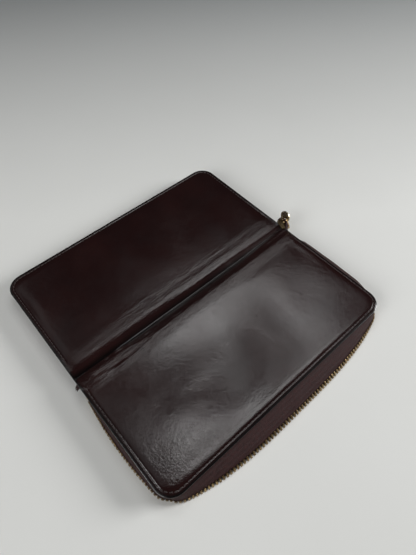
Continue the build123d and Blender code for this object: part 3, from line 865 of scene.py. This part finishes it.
TAIL_FROM = -88.0
TAIL_WIDE = 5.6
TAIL = 0.5              # thickness
TAIL_ENDS = {"near": -HALF - 2.0, "far": -HALF + 0.6}
HELD_TO = -HALF + 1.0   # a loose end lies under the lining up to here, and hangs down past it
tail_rows = np.linspace(0, 1, 25)
tail_columns = np.linspace(-0.5, 0.5, 11)
for half, side in SIDES.items():
    tail_end = TAIL_ENDS[half]
    share, forward = np.meshgrid(tail_columns, tail_rows)
    ragged = 0.55 * np.sin(share * 23 + side) + 0.35 * np.sin(share * 51 + 2)
    x = TAIL_FROM + (tail_end - TAIL_FROM) * forward - ragged * forward**6
    y = side * (5.2 + 0.7 * forward) + share * TAIL_WIDE * (1 - 0.55 * forward**2)
    held_x = np.maximum(x, HELD_TO)
    beyond = np.clip(HELD_TO - x, 0, 10)
    leather = leather_level(held_x, y, outline_inset(held_x, y)) - LEATHER
    under = leather - LINING_GAP - LINING - TAIL_GAP
    top = under - 0.35 * beyond**1.6 + 0.25 * np.sin(share * 6 + side) * forward**3
    grids = [grid_points(x, y, top), grid_points(x, y, top - TAIL)]
    run = grid_points(-x, share * TAIL_WIDE, np.zeros_like(x))
    border = doubled(smooth((forward - 0.93) / 0.07))
    make(f"tape_tail_{half}", np.concatenate(grids), sheet_faces(*x.shape), "zip_tape", f"spine_{half}",
         [f"zip_tail_{half}"], stored={"run": np.concatenate([run, run]), "border": border})

# ---------------------------------------------------------------- zip tapes

TAPE_INSET = 0.7
TAPE = 0.6
TAPE_START = 2.0
TAPE_STEP = 1.6
TAPE_TOP = TOP - LEATHER - 0.1
EDGE_Z = 2.2
FLARE_LONG = 10.7
FLARE_SHORT = 3.1
BULGE_RIGHT = 4.4


def near_flare(s, corners):
    """How far the free edge of the near tape stands out along the path."""
    first, last = corners
    u = (s - (first + last) / 2) / ((last - first) / 2)
    long_side = FLARE_LONG * (1 - np.abs(np.clip(u, -1, 1)) ** 3.2) * (1 - 0.05 * np.clip(u, -1, 1))
    at_left = np.clip(s / first, 0, 1)
    at_right = np.clip((s[-1] - s) / first, 0, 1)
    short_side = FLARE_SHORT * (np.sin(math.pi * at_left) ** 0.8 + np.sin(math.pi * at_right) ** 0.8)
    return np.where(np.abs(u) < 1, long_side, short_side)


def near_bulge(s, corners):
    """How full the wall of the near tape is. It swells out most along the right short side."""
    first, last = corners
    at_right = np.clip((s[-1] - s) / first, 0, 1)
    swollen = smooth(at_right / 0.12) * smooth((1 - at_right) / 0.3)
    return BULGE_RIGHT * swollen + 0.10 * near_flare(s, corners)


def tape_section_near(flare, bulge):
    """Middle line of the near tape: sewn flange, fold, then a full wall to its free edge."""
    inset = TAPE_INSET + TAPE / 2
    line = [(inset + 2.6, TAPE_TOP - TAPE / 2), (inset + 1.3, TAPE_TOP - TAPE / 2)]
    line += [(inset + 0.45, TAPE_TOP - TAPE / 2), (inset + 0.1, TAPE_TOP - TAPE / 2 - 0.18)]
    for t in np.linspace(0.06, 1, 11):
        out = flare * t + bulge * math.sin(math.pi * t**0.62)
        line.append((inset - out, TAPE_TOP - TAPE / 2 + (EDGE_Z - TAPE_TOP + TAPE / 2) * t))
    return np.array(line)


def no_flare(s, _):
    """The far tape neither stands out nor swells."""
    return np.zeros(len(s))


CURL = 1.7
FAR_EDGE_LEAN = math.radians(45)


def tape_section_far(_flare, _bulge):
    """Middle line of the far tape: sewn flange, wall, and an edge that turns in under the half."""
    inset = TAPE_INSET + TAPE / 2
    line = [(inset + 2.6, TAPE_TOP - TAPE / 2), (inset + 1.3, TAPE_TOP - TAPE / 2)]
    line += [(inset + 0.45, TAPE_TOP - TAPE / 2), (inset + 0.08, TAPE_TOP - TAPE / 2 - 0.15)]
    for t in np.linspace(0.08, 1, 6):
        z = TAPE_TOP - TAPE / 2 + (CURL + TAPE / 2 - TAPE_TOP + TAPE / 2) * t
        line.append((inset - 0.25 * math.sin(math.pi * t), z))
    for a in np.radians([22, 45, 67, 90, 112, 135]):
        line.append((inset + CURL * (1 - math.cos(a)), CURL + TAPE / 2 - CURL * math.sin(a)))
    for reach in (0.7, 1.4, 2.0):
        line.append((
            inset + CURL * (1 + math.cos(FAR_EDGE_LEAN)) + reach * math.cos(FAR_EDGE_LEAN),
            CURL + TAPE / 2 - CURL * math.sin(FAR_EDGE_LEAN) + reach * math.sin(FAR_EDGE_LEAN),
        ))
    return np.array(line)


def tape_piece(half, side, section, flare, bulge):
    """A woven band that follows the outline. Gives back its free edge for the teeth."""
    path, inward, s, corners = half_path(side, 0, TAPE_START, TAPE_STEP)
    sections = np.array([section(*pair) for pair in zip(flare(s, corners), bulge(s, corners))])
    ripple = 0.10 * np.sin(s / 4.3) * np.sin(s / 11.0 + 1.0)
    rows, cols = sections.shape[:2]
    step = np.diff(sections, axis=1)
    width = np.concatenate([np.zeros((rows, 1)), np.cumsum(np.hypot(step[..., 0], step[..., 1]), 1)], 1)
    wall = smooth((width - 3.4) / 3.0) * smooth((width[:, -1:] - width) / 2.0)
    tangent = np.gradient(sections, axis=1)
    tangent /= np.linalg.norm(tangent, axis=2, keepdims=True)
    normal = np.stack([tangent[..., 1], -tangent[..., 0]], -1)
    middle = sections + normal * (ripple[:, None] * wall)[..., None]
    grids = []
    for way in (1, -1):
        offset = middle + normal * way * TAPE / 2
        flat = path[:, None, :] + inward[:, None, :] * offset[..., :1]
        grids.append(np.concatenate([flat, offset[..., 1:]], -1).reshape(-1, 3))
    along = np.broadcast_to(s[:, None], width.shape)
    run = grid_points(along, width, np.zeros_like(width))
    border = smooth(1 - (width[:, -1:] - width) / 0.9)
    stored = {"run": np.concatenate([run, run]), "border": doubled(border)}
    faces = sheet_faces(rows, cols)
    make(f"tape_{half}", np.concatenate(grids), faces, "zip_tape", half + "_half",
         [f"zip_tape_{half}"], stored=stored)
    edge = path + inward * middle[:, -1, :1]
    edge = np.column_stack([edge, middle[:, -1, 1]])
    lean = middle[:, -1] - middle[:, -3]
    lean3 = np.column_stack([inward * lean[:, :1], lean[:, 1]])
    return edge, lean3 / np.linalg.norm(lean3, axis=1, keepdims=True)


# ---------------------------------------------------------------- teeth

PITCH = 2.5
FIRST_TOOTH = 2.6       # bare tape before the first tooth, at the left end of the spine
LAST_TOOTH = 1.0        # and after the last one, by the slider
TOOTH_HALF = 0.6
tooth_outline = [
    (-1.10, -1.4), (-0.34, -1.4), (-0.34, 0.12), (0.34, 0.12), (0.34, -1.4), (1.10, -1.4),
    (1.12, 0.2), (0.98, 0.75), (0.98, 1.55), (0.62, 2.0), (-0.62, 2.0), (-0.98, 1.55),
    (-0.98, 0.75), (-1.12, 0.2),
]
# across the tape, out from its edge, along it
tooth_points, tooth_faces = extruded(tooth_outline, -0.62, 0.62)
tooth_points, tooth_faces = bevelled(tooth_points, tooth_faces, 0.13)
turn = np.linspace(0, 2 * math.pi, 9)[:-1]
nub_outline = [(0.42 * math.cos(a), 1.28 + 0.34 * math.sin(a)) for a in turn]
nub_points, nub_faces = extruded(nub_outline, 0.5, 0.92)
nub_points, nub_faces = bevelled(nub_points, nub_faces, 0.1, 1)
tooth_faces = tooth_faces + [[i + len(tooth_points) for i in f] for f in nub_faces]
tooth_points = np.concatenate([tooth_points, nub_points])


def point_at(at, length, values):
    """The point or direction at a length along a path."""
    return np.array([np.interp(at, length, values[:, i]) for i in range(3)])


def teeth_along(edge, lean, pitch, first):
    """Places for teeth on a tape's free edge, evenly spaced along it."""
    length = np.concatenate([[0], np.cumsum(np.linalg.norm(np.diff(edge, axis=0), axis=1))])
    total = length[-1] - first - LAST_TOOTH
    count = int(total / pitch)
    places = []
    for k in range(count):
        at = first + (k + 0.5) * total / count
        origin = point_at(at, length, edge)
        out = point_at(at, length, lean)
        along = point_at(at + TOOTH_HALF, length, edge) - point_at(at - TOOTH_HALF, length, edge)
        along /= np.linalg.norm(along)
        out -= along * (out @ along)
        out /= np.linalg.norm(out)
        across = np.cross(out, along)
        wobble = rng.uniform(-0.05, 0.05)
        c, s = math.cos(wobble), math.sin(wobble)
        places.append((origin, [across * c - along * s, out, along * c + across * s]))
    return places


for half, side, section, flare, bulge in (
    ("near", NEAR, tape_section_near, near_flare, near_bulge),
    ("far", FAR, tape_section_far, no_flare, no_flare),
):
    edge, lean = tape_piece(half, side, section, flare, bulge)
    places = teeth_along(edge, lean, PITCH, FIRST_TOOTH)
    points, faces = repeated(tooth_points, tooth_faces, places)
    make(f"teeth_{half}", points, faces, "zip_metal", half + "_half", [f"zip_teeth_{half}"], sharp=35)

# ---------------------------------------------------------------- metal and small pieces


def rounded_copy(node, name, look, width=0.12, segments=2, sharp=35):
    """A copy of a CAD node with its edges rounded and a better finish."""
    source = frame["nodes"][node]
    mesh = source.data.copy()
    mesh.materials.clear()
    mesh.materials.append(look)
    work = bmesh.new()
    work.from_mesh(mesh)
    bmesh.ops.remove_doubles(work, verts=work.verts, dist=1e-6)
    bmesh.ops.dissolve_limit(work, angle_limit=math.radians(2), verts=work.verts, edges=work.edges)
    bmesh.ops.recalc_face_normals(work, faces=work.faces)
    work.to_mesh(mesh)
    work.free()
    made = bpy.data.objects.new(name, mesh)
    bpy.context.scene.collection.objects.link(made)
    bevel = made.modifiers.new("edges", "BEVEL")
    bevel.width = width * MM
    bevel.segments = segments
    bevel.limit_method = "ANGLE"
    bevel.angle_limit = math.radians(28)
    mesh.shade_smooth()
    mesh.set_sharp_from_angle(angle=math.radians(sharp))
    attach(made, source["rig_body"])
    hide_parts(node)
    return made


def store_run(made, along, across):
    """Lengths along two axes of the row frame, kept for the weave."""
    mesh = made.data
    points = np.zeros(len(mesh.vertices) * 3)
    mesh.vertices.foreach_get("co", points)
    points = points.reshape(-1, 3) / MM
    run = np.stack([points[:, along], points[:, across], points[:, 0] * 0], -1).astype(np.float32)
    mesh.attributes.new("run", "FLOAT_VECTOR", "POINT").data.foreach_set("vector", run.ravel())


for half in SIDES:
    store_run(rounded_copy(f"zip_tape_end_{half}", f"tape_end_{half}", TWILL_LOOK, 0.22), 2, 1)

METAL_COPIES = [
    ("zip_slider", "slider_body", BRASS_LOOK, 0.16),
    ("zip_puller", "pull_tab", NICKEL_LOOK, 0.14),
    ("bottom_stop", "end_stop", BRASS_LOOK, 0.12),
    ("zip_chain_end", "closed_teeth", BRASS_LOOK, 0.10),
    ("top_stop_near", "tape_stop_near", BRASS_LOOK, 0.12),
    ("top_stop_far", "tape_stop_far", BRASS_LOOK, 0.12),
    ("coin_zip_slider", "coin_slider_body", BRASS_LOOK, 0.12),
    ("coin_zip_puller", "coin_pull_tab", NICKEL_LOOK, 0.10),
    ("coin_zip_stops", "coin_stops", BRASS_LOOK, 0.10),
    ("coin_zip_teeth_upper", "coin_teeth_upper", BRASS_LOOK, 0.08),
    ("coin_zip_teeth_lower", "coin_teeth_lower", BRASS_LOOK, 0.08),
]
for node, name, look, width in METAL_COPIES:
    rounded_copy(node, name, look, width)

# Remaining CAD nodes take their finish from their slot
SLOTS = {part["node"]: part["material_slot"] for part in frame["record"]["subparts"]}
for name, node in frame["nodes"].items():
    if node.hide_render:
        continue
    node.data.materials.clear()
    node.data.materials.append(SLOT_LOOKS[SLOTS[name]])

# ---------------------------------------------------------------- stage, lights, camera

FLOOR_HALF = 6.0
FLOOR_AWAY = (0.648, 0.762)             # painted shade: the table's colour gets darker the way the camera looks, for the fall-off of light
FLOOR_PAINTED_SHADE = (90, 520)                 # and where that starts and ends, in millimetres
floor_mesh = bpy.data.meshes.new("floor")
floor_corners = [(a * FLOOR_HALF, b * FLOOR_HALF, 0) for a, b in ((-1, -1), (1, -1), (1, 1), (-1, 1))]
floor_mesh.from_pydata(floor_corners, [], [(0, 1, 2, 3)])
floor = bpy.data.objects.new("floor", floor_mesh)
bpy.context.scene.collection.objects.link(floor)
floor_look = Look("table", Specular_IOR_Level=0.3)
mottle = floor_look.mix(floor_look.noise(160, 4), (0.705, 0.71, 0.685), (0.765, 0.77, 0.75))
floor_parts = floor_look.tree.nodes.new("ShaderNodeSeparateXYZ")
floor_look.put(floor_parts.inputs[0], floor_look.place())
# Painted shade: the table's colour falls to dark grey away from the wallet, for the fall-off of light.
away_x = floor_look.math("MULTIPLY", floor_parts.outputs[0], FLOOR_AWAY[0])
away_y = floor_look.math("MULTIPLY", floor_parts.outputs[1], FLOOR_AWAY[1])
shade = floor_look.spread(floor_look.math("ADD", away_x, away_y), *FLOOR_PAINTED_SHADE)
floor_look.colour(floor_look.mix(shade, mottle, (0.30, 0.31, 0.31)))
floor_look.rough(floor_look.spread(floor_look.noise(30, 4), 0, 1, 0.5, 0.62))
floor_look.raise_by(floor_look.noise(1.5, 3), 0.01)
floor_mesh.materials.append(floor_look.done())


def area_light(name, place, aim, width, height, strength):
    """A soft rectangular light, in metres about the middle of the spine."""
    data = bpy.data.lights.new(name, "AREA")
    data.shape = "RECTANGLE"
    data.size = width
    data.size_y = height
    data.energy = strength
    light = bpy.data.objects.new(name, data)
    bpy.context.scene.collection.objects.link(light)
    at = Vector(place) + CENTRE
    light.location = at
    light.rotation_mode = "QUATERNION"
    light.rotation_quaternion = (Vector(aim) + CENTRE - at).to_track_quat("-Z", "Y")


# Soft panels overhead and behind, whose reflections lie on the near half and along the far crest
SOFT_PANELS = {
    "panel_back_left": ((0.12, 0.22, 0.41, 0.50), 6.0),
    "panel_back": ((0.22, 0.53, 0.365, 0.50), 5.2),
    "panel_back_right": ((0.53, 0.67, 0.365, 0.46), 2.6),
    "panel_low_left": ((0.03, 0.12, 0.06, 0.19), 8.0),
    "panel_left": ((-0.02, 0.07, 0.19, 0.26), 2.6),
    "panel_middle": ((0.27, 0.34, 0.13, 0.365), 2.8),
    "panel_right": ((0.54, 0.67, 0.10, 0.365), 4.4),
    "panel_front": ((0.10, 0.66, -0.12, 0.05), 3.6),
    "panel_beside": ((-0.35, -0.04, 0.05, 1.10), 0.3),
}
PANEL_HEIGHT = 1.0
for name, ((x_low, x_high, y_low, y_high), radiance) in SOFT_PANELS.items():
    wide, deep = x_high - x_low, y_high - y_low
    middle = ((x_low + x_high) / 2, (y_low + y_high) / 2)
    area_light(name, (*middle, PANEL_HEIGHT), (*middle, 0.0), wide, deep, math.pi * radiance * wide * deep)
area_light("window_right", (1.43, -0.88, 0.68), (0.0, -0.05, 0.0), 0.7, 0.6, 31.0)
area_light("window_left", (-1.35, -0.10, 0.80), (0.0, 0.0, 0.0), 1.0, 0.8, 14.0)

world = bpy.data.worlds.new("room")
bpy.context.scene.world = world
world.use_nodes = True
background = world.node_tree.nodes["Background"]
background.inputs["Color"].default_value = (0.96, 0.98, 1.0, 1)
background.inputs["Strength"].default_value = 0.03

bpy.context.scene.view_settings.view_transform = "Standard"

# The camera stands where the photographer held it
CAMERA_AZIMUTH = math.radians(-40.4)
CAMERA_ELEVATION = math.radians(54.7)
CAMERA_ROLL = math.radians(-1.1)
CAMERA_DISTANCE = 0.3302
CAMERA_TARGET = Vector((0.0246, 0.0085, 0.0))
FOCAL_SHARE = 425.0 / 555       # focal length as a share of the picture's height
back = Vector((
    math.sin(CAMERA_AZIMUTH) * math.cos(CAMERA_ELEVATION),
    -math.cos(CAMERA_AZIMUTH) * math.cos(CAMERA_ELEVATION),
    math.sin(CAMERA_ELEVATION),
))
level_right = Vector((math.cos(CAMERA_AZIMUTH), math.sin(CAMERA_AZIMUTH), 0))
level_up = back.cross(level_right)
right = math.cos(CAMERA_ROLL) * level_right + math.sin(CAMERA_ROLL) * level_up
up = -math.sin(CAMERA_ROLL) * level_right + math.cos(CAMERA_ROLL) * level_up
camera_data = bpy.data.cameras.new("camera")
camera_data.sensor_fit = "AUTO"
camera_data.sensor_width = 36.0
camera_data.lens = 36.0 * FOCAL_SHARE
camera_data.clip_start = 0.01
camera = bpy.data.objects.new("camera", camera_data)
bpy.context.scene.collection.objects.link(camera)
turned = Matrix((right, up, back)).transposed().to_4x4()
camera.matrix_world = Matrix.Translation(CENTRE + CAMERA_TARGET + back * CAMERA_DISTANCE) @ turned
bpy.context.scene.camera = camera
